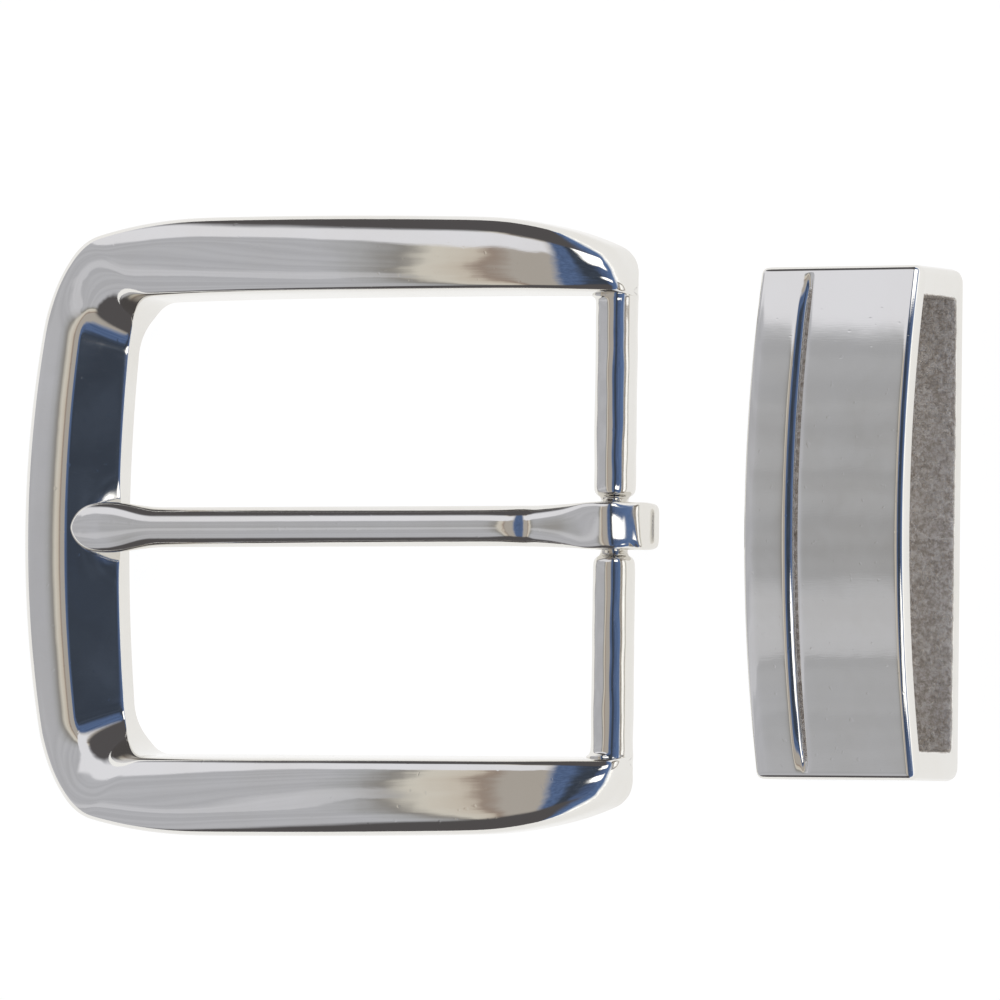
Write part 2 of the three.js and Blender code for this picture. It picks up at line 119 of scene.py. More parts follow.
# %% Shader helpers
class Wire:
    """An output socket that can be used in a sum."""

    def __init__(self, board, socket):
        self.board = board
        self.socket = socket

    def maths(self, operation, *inputs):
        return self.board.add("ShaderNodeMath", {"operation": operation}, dict(enumerate(inputs)))

    def __add__(self, other):
        return self.maths("ADD", self, other)

    def __sub__(self, other):
        return self.maths("SUBTRACT", self, other)

    def __mul__(self, other):
        return self.maths("MULTIPLY", self, other)

    def __truediv__(self, other):
        return self.maths("DIVIDE", self, other)

    def __radd__(self, other):
        return self.maths("ADD", other, self)

    def __rsub__(self, other):
        return self.maths("SUBTRACT", other, self)

    def __rmul__(self, other):
        return self.maths("MULTIPLY", other, self)

    def size(self):
        return self.maths("ABSOLUTE", self)

    def between(self, low, high):
        """0 below low, 1 above high, and a smooth rise from one to the other."""
        return self.board.add("ShaderNodeMapRange", {"interpolation_type": "SMOOTHSTEP"}, {
            "Value": self, "From Min": low, "From Max": high,
        })

    def part(self, axis):
        """One number of a vector: 0 is X, 1 is Y and 2 is Z."""
        return self.board.add("ShaderNodeSeparateXYZ", {}, {0: self}, output=axis)


class Board:
    """The tree of boxes of one material or of the world."""

    def __init__(self, owner):
        owner.use_nodes = True
        self.tree = owner.node_tree
        self.tree.nodes.clear()

    def add(self, kind, settings, inputs, output=0):
        node = self.tree.nodes.new(kind)
        for name, value in settings.items():
            if name == "stops":
                self.set_stops(node.color_ramp, value)
            else:
                setattr(node, name, value)
        for key, value in inputs.items():
            if isinstance(value, Wire):
                self.tree.links.new(value.socket, node.inputs[key])
            else:
                node.inputs[key].default_value = value
        return Wire(self, node.outputs[output]) if len(node.outputs) else None

    def set_stops(self, ramp, stops):
        while len(ramp.elements) < len(stops):
            ramp.elements.new(1)
        for element, (place, colour) in zip(ramp.elements, stops):
            element.position = place
            element.color = (*colour, 1)

    def blend(self, share, colour_a, colour_b):
        """colour_a where share is 0, colour_b where it is 1."""
        return self.add("ShaderNodeMix", {"data_type": "RGBA"}, {
            0: share, 6: self.colour(colour_a), 7: self.colour(colour_b),
        }, output=2)

    def colour(self, value):
        return value if isinstance(value, Wire) else (*value, 1)

    def noise(self, place, scale, detail=2.0, roughness=0.5):
        """Cloudy noise from 0 to 1, with about scale clouds to the metre."""
        return self.add("ShaderNodeTexNoise", {}, {
            "Vector": place, "Scale": scale, "Detail": detail, "Roughness": roughness,
        })

    def stretched(self, place, scale):
        return self.add("ShaderNodeMapping", {}, {"Vector": place, "Scale": scale})


# %% [markdown]
# ## The studio
#
# Polished nickel shows its surroundings, so a plain grey sky would make it look like grey plastic. A
# photographer of jewellery builds a small white tent instead, with a soft light panel on one side and
# leaves the room dark behind the camera. The room's own window shows as a blue gleam.
#
# We paint those surroundings on the world by direction. `across` is the angle from straight up
# towards the keeper's side, and `along` the angle from straight up towards the far side, in degrees.
# The edges wander a little, because no real card or curtain hangs quite straight. The tent has soft
# folds, and the dark side of the room holds some clutter that breaks up the blue.

# %% World
TENT_GREY = (0.54, 0.55, 0.60)
PANEL_WHITE = (0.88, 0.89, 0.96)
WARM_WALL = (0.475, 0.443, 0.412)
EVENING_BLUE = (0.10, 0.155, 0.30)
NIGHT_NAVY = (0.052, 0.066, 0.095)
ROOM_DARK = (0.10, 0.095, 0.10)
PAPER_WHITE = (1.0, 1.0, 1.0)
RAMP_REACH = 90.0

ACROSS_STOPS = (
    (-90, TENT_GREY),
    (-31, TENT_GREY),
    (-27, (0.47, 0.48, 0.51)),
    (-23, (0.30, 0.29, 0.28)),
    (-20, (0.74, 0.71, 0.65)),
    (-15, (0.66, 0.60, 0.53)),
    (-13, (0.33, 0.26, 0.22)),
    (-10, WARM_WALL),
    (7, WARM_WALL),
    (10, (0.30, 0.33, 0.42)),
    (13, EVENING_BLUE),
    (20, EVENING_BLUE),
    (23.5, NIGHT_NAVY),
    (28.5, NIGHT_NAVY),
    (32, (0.075, 0.11, 0.21)),
    (42, EVENING_BLUE),
    (62, (0.12, 0.20, 0.40)),
    (70, (0.80, 0.85, 0.95)),
    (80, (1.4, 1.4, 1.4)),
    (90, (1.1, 1.1, 1.08)),
)

world = bpy.data.worlds.new("studio_world")
bpy.context.scene.world = world
sky = Board(world)
direction = sky.add("ShaderNodeTexCoord", {}, {}, output="Generated")
wander = (sky.noise(direction, 2.6, detail=2) - 0.5) * 16
wrinkle = (sky.noise(direction, 9.0, detail=2) - 0.5) * 5
sideways = direction.part(0)
upward = direction.part(2)
across = sideways.maths("ARCTAN2", sideways, upward) * math.degrees(1) + wrinkle
along = direction.part(1).maths("ARCSINE", direction.part(1)) * math.degrees(1) + wander
ramp_place = (across + RAMP_REACH) / (2 * RAMP_REACH)
stops = [((angle + RAMP_REACH) / (2 * RAMP_REACH), colour) for angle, colour in ACROSS_STOPS]
room = sky.add("ShaderNodeValToRGB", {"stops": stops}, {0: ramp_place})
folds = sky.noise(sky.stretched(direction, (0.7, 16.0, 0.7)), 1.6, detail=3)
fold_shade = (folds.between(0.35, 0.65) * 0.10 + 0.93)
shaded = sky.add("ShaderNodeVectorMath", {"operation": "SCALE"}, {0: room, "Scale": fold_shade})
room = sky.blend(1 - across.between(-26, -20), room, shaded)
clutter = sky.noise(direction, 26, detail=4, roughness=0.6).between(0.35, 0.7) * 0.45 + 0.82
cluttered = sky.add("ShaderNodeVectorMath", {"operation": "SCALE"}, {0: room, "Scale": clutter})
room = sky.blend(across.between(8, 14), room, cluttered)
print("the world has", len(stops), "bands of colour")

# %% [markdown]
# The panel, a faint white card, the dark room and the window panes lie over those bands. Each is the
# product of a few smooth steps, one for each of its edges, in degrees. The lens itself sees plain paper
# behind the set, so that the picture has a clean background.

# %% Panel, dark room and window
CARD_STRENGTH = 0.35
PANE_GLOW = (2.0, 2.0, 2.0)
BACKDROP = (0.97, 0.97, 0.97)

panel = along.between(21.5, 24) * (1 - along.between(41, 47)) * (1 - across.between(4, 13))
card = along.between(-15.5, -14.8) * (1 - along.between(-9, -4)) * (1 - across.between(-24, -20))
darkness = along.size().between(43, 51) * (1 - across.between(30, 50))
far_pane = along.between(23, 26) * (1 - along.between(44, 48)) * across.between(27, 31)
near_pane = along.between(-20, -17) * (1 - along.between(-6, -4)) * across.between(27, 31)
panes = (far_pane + near_pane) * (1 - across.between(47, 53))
room = sky.blend(card * CARD_STRENGTH, room, PANEL_WHITE)
room = sky.blend(panel, room, PANEL_WHITE)
room = sky.blend(darkness, room, ROOM_DARK)
room = sky.blend(panes, room, PANE_GLOW)
below = upward.between(-0.02, -0.01)
room = sky.blend(1 - below, room, PAPER_WHITE)
straight_view = sky.add("ShaderNodeLightPath", {}, {}, output="Is Camera Ray")
room = sky.blend(straight_view, room, BACKDROP)
glow = sky.add("ShaderNodeBackground", {}, {"Color": room, "Strength": 1.0})
sky.add("ShaderNodeOutputWorld", {}, {"Surface": glow})
print("the world is drawn with", len(sky.tree.nodes), "boxes")

# %% [markdown]
# The set lies on a light table: a pale sheet lit from below. It throws no dark shadow, and it fills
# the upright sides of the metal with a warm white. The sheet glows, with a little ordinary white
# paint so that the metal can still shade it where they meet.

# %% Light table
TABLE_HALF = 1.5
TABLE_GAP = 0.02
TABLE_GLOW = 0.94

table_mesh = bmesh.new()
bmesh.ops.create_grid(table_mesh, x_segments=1, y_segments=1, size=TABLE_HALF)
table_data = bpy.data.meshes.new("light_table")
table_mesh.to_mesh(table_data)
table_mesh.free()
table = bpy.data.objects.new("light_table", table_data)
bpy.context.scene.collection.objects.link(table)
table.location.z = cad_box[0][2] - TABLE_GAP * MM

table_finish = bpy.data.materials.new("light_table_sheet")
sheet = Board(table_finish)
grain = sheet.noise(sheet.add("ShaderNodeTexCoord", {}, {}, output="Object"), 40, detail=3)
sheet_surface = sheet.add("ShaderNodeBsdfPrincipled", {}, {
    "Base Color": sheet.blend(grain, (0.13, 0.13, 0.13), (0.16, 0.16, 0.16)),
    "Roughness": 0.9,
    "Emission Color": (1.0, 1.0, 1.0, 1),
    "Emission Strength": TABLE_GLOW,
})
sheet.add("ShaderNodeOutputMaterial", {}, {"Surface": sheet_surface})
table_data.materials.append(table_finish)
print("light table is", 2 * TABLE_HALF, "m wide")

# %% [markdown]
# ## Shaping helpers
#
# Everything is worked out in millimetres from the outer edge of the tip bar and moved to its place in
# metres by `place`. `mix`, `smooth` and `round_off` are the three sums that the shapes need.

# %% Sums for shapes
def place(x, y, z):
    return Vector((frame_low.x + x * MM, y * MM, z * MM))


def mix(a, b, share):
    return a + (b - a) * share


def smooth(x, start, end):
    share = min(1, max(0, (x - start) / (end - start)))
    return share * share * (3 - 2 * share)


def round_off(t, radius):
    """How much of a rounded edge is missing, a distance t into it."""
    inside = min(radius, max(0, t))
    return radius - math.sqrt(radius * radius - inside * inside)


# %% [markdown]
# A casting with a changing section is a *loft*: rings of points, each grown out of the one before.
# Blender's circle operator makes the first ring. Extruding a ring's edges gives its neighbour, whose
# points are then moved onto the next section, so that nothing can twist. A loop that closes on itself
# is merged where its ends meet. An open end is filled and then inset, so that the smoothing modifier
# keeps the rim crisp.

# %% Loft
RENDER_LEVELS = 2


def ring_edges(mesh, corners):
    return [mesh.edges.get(pair) for pair in zip(corners, corners[1:] + corners[:1])]


def first_ring(mesh, points):
    made = bmesh.ops.create_circle(mesh, segments=len(points), radius=1, cap_ends=False)["verts"]
    for corner, point in zip(made, points):
        corner.co = point
    return made


def next_ring(mesh, corners, points):
    """Extrudes a ring and moves the copy onto the points."""
    pulled = bmesh.ops.extrude_edge_only(mesh, edges=ring_edges(mesh, corners))["geom"]
    fresh = {item for item in pulled if isinstance(item, bmesh.types.BMVert)}
    partners = []
    for corner, point in zip(corners, points):
        partner = next(e.other_vert(corner) for e in corner.link_edges if e.other_vert(corner) in fresh)
        partner.co = point
        partners.append(partner)
    return partners


def loft(mesh, rings, closed=False, rim=0.2 * MM):
    """Joins the rings, in order, and returns the points of each."""
    made = [first_ring(mesh, rings[0])]
    for points in rings[1:]:
        made.append(next_ring(mesh, made[-1], points))
    if closed:
        ending = next_ring(mesh, made[-1], rings[0])
        bmesh.ops.weld_verts(mesh, targetmap=dict(zip(ending, made[0])))
    else:
        for corners in (made[0], made[-1]):
            cap = bmesh.ops.edgeloop_fill(mesh, edges=ring_edges(mesh, corners))["faces"]
            bmesh.ops.inset_individual(mesh, faces=cap, thickness=rim, depth=0)
    return made


# %% [markdown]
# A finished piece gets its normals turned outwards and smooth shading. A piece without smoothing
# keeps a crease wherever two faces meet at a steep angle. Its object stays at the origin.

# %% Finish a piece
CREASE_ANGLE = math.radians(40)


def finish_piece(mesh, name, material, body, levels):
    bmesh.ops.recalc_face_normals(mesh, faces=mesh.faces)
    for face in mesh.faces:
        face.smooth = True
    if levels == 0:
        for edge in mesh.edges:
            edge.smooth = edge.calc_face_angle(0) < CREASE_ANGLE
    data = bpy.data.meshes.new(name)
    mesh.to_mesh(data)
    mesh.free()
    data.materials.append(material)
    piece = bpy.data.objects.new(name, data)
    bpy.context.scene.collection.objects.link(piece)
    if levels:
        smoothing = piece.modifiers.new("smoothing", "SUBSURF")
        smoothing.levels = levels
        smoothing.render_levels = levels
    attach(piece, body)
    print(name, "has", len(data.polygons), "faces before smoothing")
    return piece


# %% [markdown]
# ## The plating
#
# Bright nickel is a mirror with a faint yellow cast. No hand polish is perfect: the surface keeps a
# slow waviness a few millimetres long that bends the reflections, very fine wipe marks, a few pits,
# and a breath of haze. The waviness and the pits are bumps; the haze varies the roughness.

# %% Nickel plating
NICKEL = (0.785, 0.77, 0.735)
NICKEL_WARM = (0.765, 0.745, 0.70)
WAVE_DEPTH = 0.06


def wavy_height(board, spot, waviness):
    slow = board.noise(spot, 130, detail=1) * 0.62
    quick = board.noise(spot, 520, detail=1) * 0.075
    wipe = board.noise(board.stretched(spot, (1.0, 9.0, 9.0)), 900, detail=3) * 0.012
    pit = board.noise(spot, 1500, detail=1).between(0.70, 0.78) * 0.03
    return (slow + quick) * waviness + wipe - pit


def nickel(name, waviness, low_rough, high_rough):
    material = bpy.data.materials.new(name)
    board = Board(material)
    spot = board.add("ShaderNodeTexCoord", {}, {}, output="Object")
    haze = board.noise(spot, 90, detail=4, roughness=0.6)
    smear = board.noise(board.stretched(spot, (1.0, 4.0, 2.0)), 380, detail=3)
    rough = mix(low_rough, high_rough, 0.5) + (haze - 0.5) * (high_rough - low_rough)
    rough = rough + smear.between(0.58, 0.75) * 0.02
    colour = board.blend(haze.between(0.35, 0.7), NICKEL, NICKEL_WARM)
    bump = board.add("ShaderNodeBump", {}, {
        "Height": wavy_height(board, spot, waviness), "Strength": 1.0, "Distance": WAVE_DEPTH * MM,
    })
    surface = board.add("ShaderNodeBsdfPrincipled", {}, {
        "Base Color": colour, "Metallic": 1.0, "Roughness": rough, "Normal": bump,
    })
    board.add("ShaderNodeOutputMaterial", {}, {"Surface": surface})
    return material


frame_finish = nickel("nickel_on_frame", 1.0, 0.03, 0.075)
prong_finish = nickel("nickel_on_prong", 0.8, 0.05, 0.13)
print("nickel reflects", NICKEL)

# %% [markdown]
# ## The frame casting
#
# Seen from the side the frame is a low arch: it lies on its tip bar, rises over the arms, and bends
# down to the heel. `crest` is the height of that arch and `back` the underside.

# %% Side view of the frame
FRAME_LENGTH = (frame_high.x - frame_low.x) / MM
ARM_HALF = frame_high.y / MM
CREST_HEIGHT = frame_high.z / MM
ARCH_MIDDLE = 36
TIP_CREST = 4.3
TIP_SETBACK = 3.75
HEEL_CREST = 6.3
HEEL_BEND = 8
HEEL_DROP = 1.8
ARM_THICKNESS = 5.1
END_ROUND = 1.1
BAR_RADIUS = 1.9
BAR_X = FRAME_LENGTH - BAR_RADIUS
OPENING_HALF = 20.3


def crest(x):
    if x < ARCH_MIDDLE:
        curve = (CREST_HEIGHT - TIP_CREST) / (ARCH_MIDDLE - TIP_SETBACK) ** 2
    else:
        curve = (CREST_HEIGHT - HEEL_CREST) / (FRAME_LENGTH - ARCH_MIDDLE) ** 2
    bend = max(0, x - FRAME_LENGTH + HEEL_BEND) / HEEL_BEND
    return CREST_HEIGHT - curve * (x - ARCH_MIDDLE) ** 2 - HEEL_DROP * bend ** 2


def back(x):
    return max(0, crest(x) - ARM_THICKNESS)


print("crest at the tip, middle and heel:", [round(crest(x), 2) for x in (TIP_SETBACK, 36, FRAME_LENGTH)])

# %% [markdown]
# From the front the frame has a bowed tip bar, round corners and two arms that bow very slightly and
# narrow at the heel. The corner's arc has to touch both the arm and the tip bar. There is no short
# formula for that place, so we halve the range again and again until it is found.

# %% Front view of the frame
TIP_BAR_WIDTH = 10.4
TIP_INNER_RISE = 0.7
TIP_BOW_RADIUS = 95
OUTER_CORNER = 10
INNER_CORNER = 5
ARM_WIDEST = 21.5
SHOULDER_RADIUS = 55
ARM_BOW_RADIUS = 1100
TAPER_LENGTH = 13
TAPER_RADIUS = 31
ARM_END_CORNER = 3
HALVINGS = 40


def arm_outer(x):
    radius = SHOULDER_RADIUS if x < ARM_WIDEST else ARM_BOW_RADIUS
    taper = max(0, x - FRAME_LENGTH + TAPER_LENGTH) ** 2 / (2 * TAPER_RADIUS)
    edge = ARM_HALF - (x - ARM_WIDEST) ** 2 / (2 * radius) - taper
    return edge - round_off(x - FRAME_LENGTH + ARM_END_CORNER, ARM_END_CORNER)


def outer_corner():
    """Centre of the corner's arc, its first and last angle, and the x where it meets the arm."""
    low, high = 0, ARM_WIDEST
    for _ in range(HALVINGS):
        end_x = (low + high) / 2
        last = math.pi / 2 - math.atan((ARM_WIDEST - end_x) / SHOULDER_RADIUS)
        x = end_x + OUTER_CORNER * math.cos(last)
        y = arm_outer(end_x) - OUTER_CORNER * math.sin(last)
        if math.hypot(TIP_BOW_RADIUS - x, y) < TIP_BOW_RADIUS - OUTER_CORNER:
            high = end_x
        else:
            low = end_x
    return x, y, math.atan2(y, TIP_BOW_RADIUS - x), last, end_x


corner_x, corner_y, first_turn, last_turn, corner_end = outer_corner()
print("corner's arc ends", round(corner_end, 2), "mm from the tip")

# %% [markdown]
# The section is what you would see if you sawed through the casting. The arm is crowned, with a sharp
# inner edge. The tip bar has its crest near the outside and slopes down to the opening, so that the
# prong can lie on it. Each point is a share of the width and a share of the height, going from the
# inner edge at the back, over the front, to the outer edge and home along the back. Only the points of
# the front are lowered for the prong's seat and for the domed end of the arm.

# %% Sections
ARM_SECTION = (
    (0.06, 0), (0.01, 0.01), (0.004, 0.06), (0.022, 0.36), (0.045, 0.68), (0.060, 0.82),
    (0.075, 0.885), (0.098, 0.922), (0.135, 0.951), (0.20, 0.978), (0.29, 0.996), (0.38, 0.999),
    (0.49, 0.990), (0.60, 0.970), (0.70, 0.947), (0.77, 0.918), (0.835, 0.879), (0.905, 0.82),
    (0.955, 0.762), (0.985, 0.69), (0.998, 0.55), (1.0, 0.08), (0.985, 0.0), (0.93, 0), (0.5, 0),
)
TIP_SECTION = (
    (0.05, 0), (0.004, 0.01), (0.002, 0.06), (0.006, 0.22), (0.012, 0.38), (0.018, 0.425),
    (0.032, 0.449), (0.07, 0.496), (0.17, 0.619), (0.28, 0.755), (0.37, 0.866), (0.412, 0.918),
    (0.437, 0.949), (0.462, 0.967), (0.50, 0.982), (0.57, 0.996), (0.65, 1.0), (0.73, 0.99),
    (0.80, 0.95), (0.865, 0.84), (0.935, 0.57), (1.0, 0.08), (0.985, 0.0), (0.93, 0), (0.5, 0),
)
SECTION_TURN_START = 0.08
FRONT_SHARE = 1 / 3
SEAT_DEPTH = 0.45
SEAT_WIDTH = 2.6
SEAT_START = 0.24
print("sections have", len(ARM_SECTION), "points")


def seat(share, y):
    """The shallow hollow in the tip bar that the prong's leaf lies in."""
    return SEAT_DEPTH * math.exp(-(y / SEAT_WIDTH) ** 2) * (1 - smooth(share, 0.03, SEAT_START))


HEEL_DOME = 0.5
HEEL_DOME_LENGTH = 11


def heel_dome(share, x):
    """How far the front falls away to both sides as the arm nears its end."""
    near_end = max(0, x - FRAME_LENGTH + HEEL_DOME_LENGTH) / HEEL_DOME_LENGTH
    return HEEL_DOME * near_end ** 2 * (2 * share - 1) ** 2


def station_ring(inner, outer, tip, side):
    """The section's points at one station; tip is 1 on the tip bar and 0 on the arm."""
    middle = (inner[0] + outer[0]) / 2
    into_end = middle - FRAME_LENGTH
    height_at = mix(middle, TIP_SETBACK, tip)
    top = crest(height_at) - round_off(into_end + END_ROUND, END_ROUND)
    bottom = back(height_at) + round_off(into_end + BAR_RADIUS, BAR_RADIUS)
    points = []
    for (arm_across, arm_up), (tip_across, tip_up) in zip(ARM_SECTION, TIP_SECTION):
        share = mix(arm_across, tip_across, tip)
        x = mix(inner[0], outer[0], share)
        y = mix(inner[1], outer[1], share)
        height = mix(bottom, top, mix(arm_up, tip_up, tip))
        if height > (bottom + top) * FRONT_SHARE:
            height -= seat(share, y) * tip + heel_dome(share, middle)
        points.append(place(x, side * y, height))
    return points


# %% [markdown]
# Half of the frame is a walk from the middle of the tip bar, round the corner and along the arm. The
# other half is its mirror image.

# %% Stations along the frame
TIP_STEPS = 18
CORNER_STEPS = 14
ARM_STEPS = 22
END_STEPS = 8


def half_stations():
    inner_x = TIP_BAR_WIDTH + TIP_INNER_RISE + INNER_CORNER
    inner_y = OPENING_HALF - INNER_CORNER
    stations = []
    for step in range(TIP_STEPS):
        share = step / TIP_STEPS
        angle = first_turn * share
        inner = (TIP_BAR_WIDTH + TIP_INNER_RISE * share ** 2, inner_y * share)
        outer = (TIP_BOW_RADIUS * (1 - math.cos(angle)), TIP_BOW_RADIUS * math.sin(angle))
        stations.append((inner, outer, 1))
    for step in range(CORNER_STEPS + 1):
        share = step / CORNER_STEPS
        angle = mix(first_turn, last_turn, share)
        quarter = math.pi / 2 * share
        inner = (inner_x - INNER_CORNER * math.cos(quarter), inner_y + INNER_CORNER * math.sin(quarter))
        outer = (corner_x - OUTER_CORNER * math.cos(angle), corner_y + OUTER_CORNER * math.sin(angle))
        stations.append((inner, outer, 1 - smooth(share, SECTION_TURN_START, 1)))
    for step in range(1, ARM_STEPS + 1):
        share = step / ARM_STEPS
        x = mix(corner_end, BAR_X, share)
        stations.append(((mix(inner_x, BAR_X, share), OPENING_HALF), (x, arm_outer(x)), 0))
    for step in range(1, END_STEPS + 1):
        x = BAR_X + BAR_RADIUS * math.sin(math.pi / 2 * step / END_STEPS)
        stations.append(((x, OPENING_HALF), (x, arm_outer(x)), 0))
    return stations


stations = half_stations()
near_rings = [station_ring(*station, 1) for station in reversed(stations)]
far_rings = [station_ring(*station, -1) for station in stations[1:]]
frame_mesh = bmesh.new()
loft(frame_mesh, near_rings + far_rings)
print("frame loop has", len(near_rings + far_rings), "rings of", len(ARM_SECTION), "points")

# %% [markdown]
# The heel bar is cast in one with the frame. It is round, necks down where the prong is closed round
# it, and runs into both arms with a small fillet. A turned shape is a *lathe* job: a few points of its
# outline are spun once round the bar's axis. Castings that nobody polishes between the arms stay a
# little lumpy, so the bar's points are moved by smooth noise.

# %% Heel bar
NECK_RADIUS = 1.2
NECK_HALF = 2.55
NECK_SHOULDER = 0.8
BAR_FLARE = 0.5
BAR_ROOT = 1.0
SPIN_STEPS = 24
PLAIN_STEPS = 12
LUMP = 0.07
LUMP_LENGTH = 1.6
SMOOTH_HALF = NECK_HALF + 2
EDGE_ROOM = 0.02
LUMP_SEED = 4


def bar_profile():
    """Radius and distance from the middle, for one half of the bar."""
    flare_start = OPENING_HALF - BAR_FLARE
    profile = [(NECK_RADIUS, 0), (NECK_RADIUS, NECK_HALF * 0.5), (NECK_RADIUS, NECK_HALF)]
    for degrees in (30, 60, 90):
        angle = math.radians(degrees)
        radius = mix(NECK_RADIUS, BAR_RADIUS, math.sin(angle))
        profile.append((radius, NECK_HALF + NECK_SHOULDER * (1 - math.cos(angle))))
    for step in range(1, PLAIN_STEPS):
        share = step / PLAIN_STEPS
        profile.append((BAR_RADIUS, mix(NECK_HALF + NECK_SHOULDER, flare_start, share)))
    for degrees in (0, 35, 65, 85):
        angle = math.radians(degrees)
        radius = BAR_RADIUS + BAR_FLARE * (1 - math.cos(angle))
        profile.append((radius, flare_start + BAR_FLARE * math.sin(angle)))
    profile.append((BAR_RADIUS, OPENING_HALF + BAR_ROOT))
    profile.append((0, OPENING_HALF + BAR_ROOT))
    return profile


def lathe(mesh, profile, centre):
    corners = [mesh.verts.new(centre + Vector((0, y, radius)) * MM) for radius, y in profile]
    edges = [mesh.edges.new(pair) for pair in zip(corners, corners[1:])]
    bmesh.ops.spin(
        mesh, geom=corners + edges, cent=centre, axis=(0, 1, 0), angle=2 * math.pi,
        steps=SPIN_STEPS, use_merge=True,
    )


# Noise starts from the clock unless it is given a seed, and the lumps must be the same in every run.
noise.seed_set(LUMP_SEED)


def keep_under_arm(corner, axis):
    """Takes the flare off the bar's far side, where it would stick out past the arm's end."""
    spoke = Vector((corner.co.x - axis.x, 0, corner.co.z - axis.z))
    limit = (BAR_RADIUS + LUMP / 2) * MM
    if spoke.x > 0 and spoke.length > limit:
        corner.co -= spoke * (1 - limit / spoke.length)


def lump(corner, height, scale):
    """Nudges a point by smooth noise; both sizes are in millimetres."""
    corner.co += noise.noise_vector(corner.co / (scale * MM)) * height * MM


bar_mesh = bmesh.new()
half_profile = bar_profile()
full_profile = [(radius, -y) for radius, y in reversed(half_profile[1:])] + half_profile
bar_axis = place(BAR_X, 0, BAR_RADIUS)
lathe(bar_mesh, full_profile, bar_axis)
bmesh.ops.remove_doubles(bar_mesh, verts=bar_mesh.verts, dist=0.001 * MM)
room_end = frame_high.x - EDGE_ROOM * MM
for corner in bar_mesh.verts:
    if abs(corner.co.y) > SMOOTH_HALF * MM:
        lump(corner, LUMP, LUMP_LENGTH)
    keep_under_arm(corner, bar_axis)
    corner.co.x = min(corner.co.x, room_end)
    corner.co.z = max(corner.co.z, EDGE_ROOM * MM)
print("heel bar is", round(2 * (OPENING_HALF + BAR_ROOT), 1), "mm long with its roots")

# %% [markdown]
# Both meshes go into one piece, because frame and heel bar are one casting.

# %% Frame piece
bar_data = bpy.data.meshes.new("heel_bar_shape")
bar_mesh.to_mesh(bar_data)
bar_mesh.free()
frame_mesh.from_mesh(bar_data)
frame_casting = finish_piece(frame_mesh, "frame_casting", frame_finish, "frame", RENDER_LEVELS)
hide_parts("buckle_frame")

# %% [markdown]
# ## The prong
#
# The prong is a round rod. Its tip is hammered to a leaf that lies on the tip bar, and its tail is
# closed round the neck of the heel bar. The rod is again a loft of rings. A ring's `squareness` below
# 1 turns the circle into a rounded box, for the leaf's flat face.

# %% Prong shaft
TIP_LEAF = (prong_low.x - frame_low.x) / MM
PRONG_TOP = prong_high.z / MM
BUMP_STEP = 0.35
LEAF_DEPTH = 1.9
LEAF_WIDTH = 4.6
LEAF_LENGTH = 9.3
NOSE_LENGTH = 3.2
NOSE_SHARES = (0.10, 0.17, 0.28, 0.42, 0.58, 0.76, 1.0)
NOSE_THIN = 0.45
LEAF_STEPS = 10
SHAFT_STEPS = 12
SHAFT_WIDTH = 3.65
SHAFT_DEPTH = 3.1
LEAF_UNDERSIDE = 3.9
RING_POINTS = 24
LEAF_SQUARENESS = 0.93
FACET_START = -8.6


def leaf_top(x):
    """Top of the prong: a straight line from the leaf to the foot of the bump."""
    share = (x - TIP_LEAF) / (BAR_X - TIP_LEAF)
    return mix(LEAF_UNDERSIDE + LEAF_DEPTH, PRONG_TOP - BUMP_STEP, share)


def rod_ring(x, top, width, depth, squareness):
    points = []
    for step in range(RING_POINTS):
        angle = 2 * math.pi * (step + 0.5) / RING_POINTS
        c, s = math.cos(angle), math.sin(angle)
        across = width / 2 * math.copysign(abs(c) ** squareness, c)
        up = depth / 2 * math.copysign(abs(s) ** squareness, s)
        points.append(place(x, across, top - depth / 2 + up))
    return points


def shaft_rings():
    rings = []
    for share in NOSE_SHARES:
        angle = math.pi / 2 * share
        x = TIP_LEAF + NOSE_LENGTH * (1 - math.cos(angle))
        depth = LEAF_DEPTH * mix(NOSE_THIN, 1, math.sin(angle))
        top = leaf_top(x) - LEAF_DEPTH + depth
        rings.append(rod_ring(x, top, LEAF_WIDTH * math.sin(angle), depth, LEAF_SQUARENESS))
    for step in range(1, LEAF_STEPS + 1):
        share = step / LEAF_STEPS
        x = mix(TIP_LEAF + NOSE_LENGTH, TIP_LEAF + LEAF_LENGTH, share)
        blend = smooth(share, 0.15, 1)
        width = mix(LEAF_WIDTH, SHAFT_WIDTH, blend)
        depth = mix(LEAF_DEPTH, SHAFT_DEPTH, blend)
        rings.append(rod_ring(x, leaf_top(x), width, depth, mix(LEAF_SQUARENESS, 1, blend)))
    for step in range(1, SHAFT_STEPS + 1):
        x = mix(TIP_LEAF + LEAF_LENGTH, BAR_X + FACET_START, step / SHAFT_STEPS)
        rings.append(rod_ring(x, leaf_top(x), SHAFT_WIDTH, SHAFT_DEPTH, 1))
    return rings
